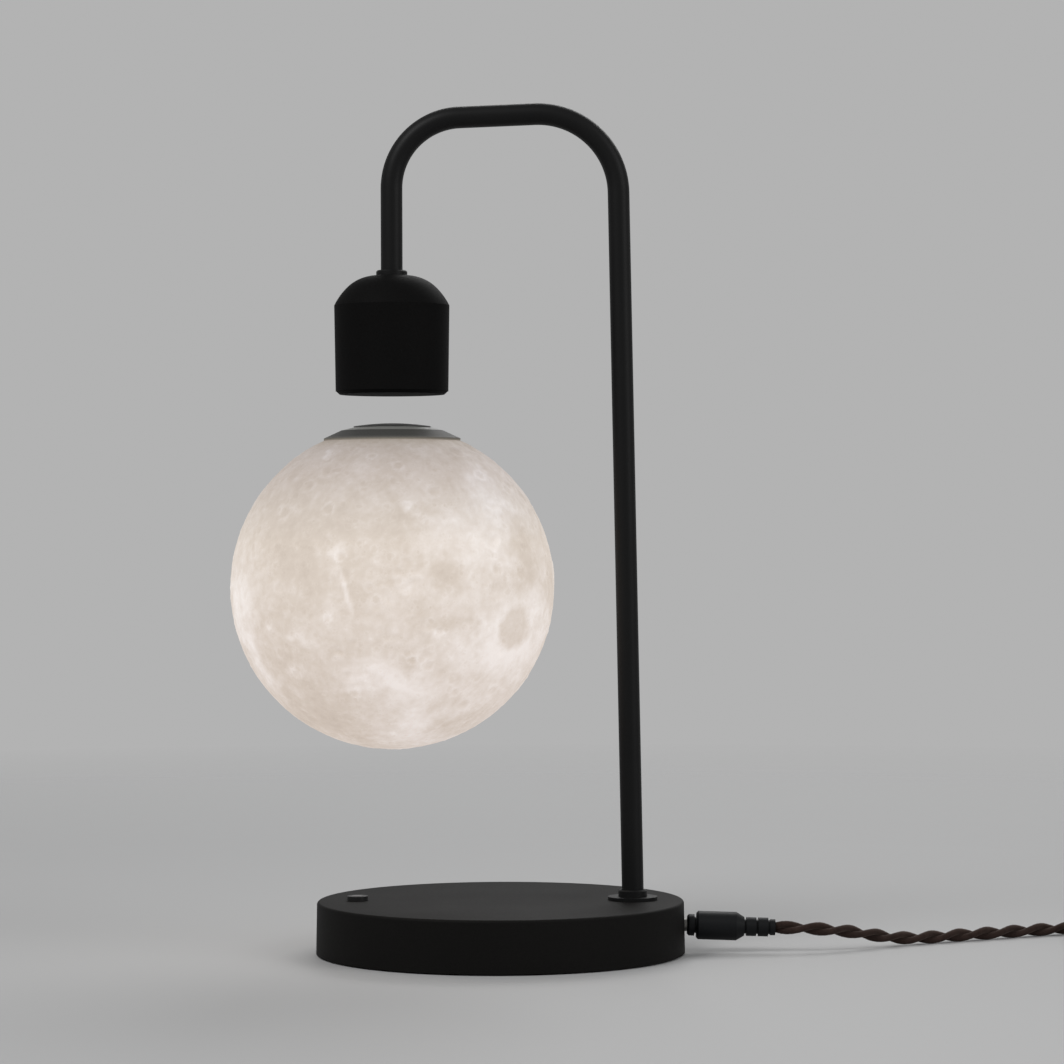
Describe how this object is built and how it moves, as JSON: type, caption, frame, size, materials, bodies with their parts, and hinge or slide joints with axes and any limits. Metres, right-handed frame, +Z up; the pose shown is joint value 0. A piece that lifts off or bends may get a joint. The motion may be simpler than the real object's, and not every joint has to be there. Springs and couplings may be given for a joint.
{
  "type": "levitating moon table lamp",
  "caption": "Table lamp whose glowing moon globe floats and turns under a bell-shaped magnet head on a bent tube, over a round weighted base with a button and a twisted textile cord.",
  "frame": {"origin": "centre of the base's footprint on the table, on the underside of its foam pad", "axes": "+Z up; +X from the moon towards the pole; the tube frame lies in the XZ plane, and -Y is the side that the picture shows"},
  "size_m": [0.5062, 0.1608, 0.3708],
  "materials": {
    "powder_coat": "satin black powder coat with a fine texture",
    "plate_paint": "matt black paint",
    "foam": "closed-cell foam",
    "iron": "bare iron",
    "steel": "zinc-plated steel",
    "magnet": "nickel plate",
    "copper": "enamelled copper wire",
    "circuit_board": "green solder mask",
    "board_part": "moulded component bodies",
    "black_plastic": "fine-textured moulded plastic",
    "cable_jacket": "soft cable jacket",
    "bobbin_plastic": "natural nylon",
    "button_dark": "satin",
    "button_light": "satin",
    "moon_print": "printed white plastic with crater relief, lit from inside",
    "lid_dark": "satin dark grey",
    "lid_light": "satin light grey",
    "disc_dark": "satin dark grey",
    "light_chip": "light-emitting chips",
    "braid": "dark brown braided textile sleeve over a twisted pair"
  },
  "bodies": {
    "base": {"base_shell": "powder_coat", "base_plate": "plate_paint", "foot_pad": "foam", "ballast": "iron", "control_board": "circuit_board", "board_parts": "board_part", "board_screws": "steel", "plate_screws": "steel", "switch_board": "circuit_board", "button_switch": "board_part", "dc_jack": "black_plastic", "jack_pin": "steel", "pole_flange": "powder_coat", "pole_collar": "powder_coat", "lock_washer": "steel", "lock_nut": "steel", "frame_tube": "powder_coat", "wire_harness": "cable_jacket", "neck_collar": "powder_coat", "neck_nut": "steel", "bell_shell": "powder_coat", "bell_cover": "black_plastic", "coil_bracket": "steel", "bracket_screws": "steel", "terminal_block": "board_part", "iron_core": "iron", "coil_bobbin": "bobbin_plastic", "coil_winding": "copper", "sensor_board": "circuit_board", "field_sensor": "board_part", "power_coil": "copper", "plug_barrel": "steel", "dc_plug": "black_plastic", "cord_lead": "braid", "cord_coil": "braid", "coil_ties": "black_plastic", "adapter_case": "black_plastic", "adapter_face": "black_plastic", "adapter_pins": "steel", "adapter_relief": "black_plastic", "adapter_board": "circuit_board"},
    "button": {"button_cap": "button_dark", "button_lens": "button_light"},
    "magnet": {"lift_magnet": "magnet"},
    "moon": {"moon_shell": "moon_print", "lid_ring": "lid_dark", "moon_lid": "lid_light", "crown_disc": "disc_dark", "magnet_retainer": "lid_dark", "receiver_coil": "copper", "led_board": "circuit_board", "leds": "light_chip", "lid_screws": "steel"}
  },
  "joints": [
    {"name": "moon_float", "type": "slide", "parent": "base", "child": "magnet", "axis": [0, 0, 1], "range_m": [-0.064, 0.012], "stiffness_N_per_m": 100, "springref_m": 0.01635},
    {"name": "moon_spin", "type": "hinge", "parent": "magnet", "child": "moon", "pos_m": [-0.0467, 0, 0.1597], "axis": [0, 0, 1], "continuous": true},
    {"name": "button_press", "type": "slide", "parent": "base", "child": "button", "axis": [0, 0, -1], "range_m": [0, 0.0005], "stiffness_N_per_m": 500, "springref_m": -0.002}
  ]
}
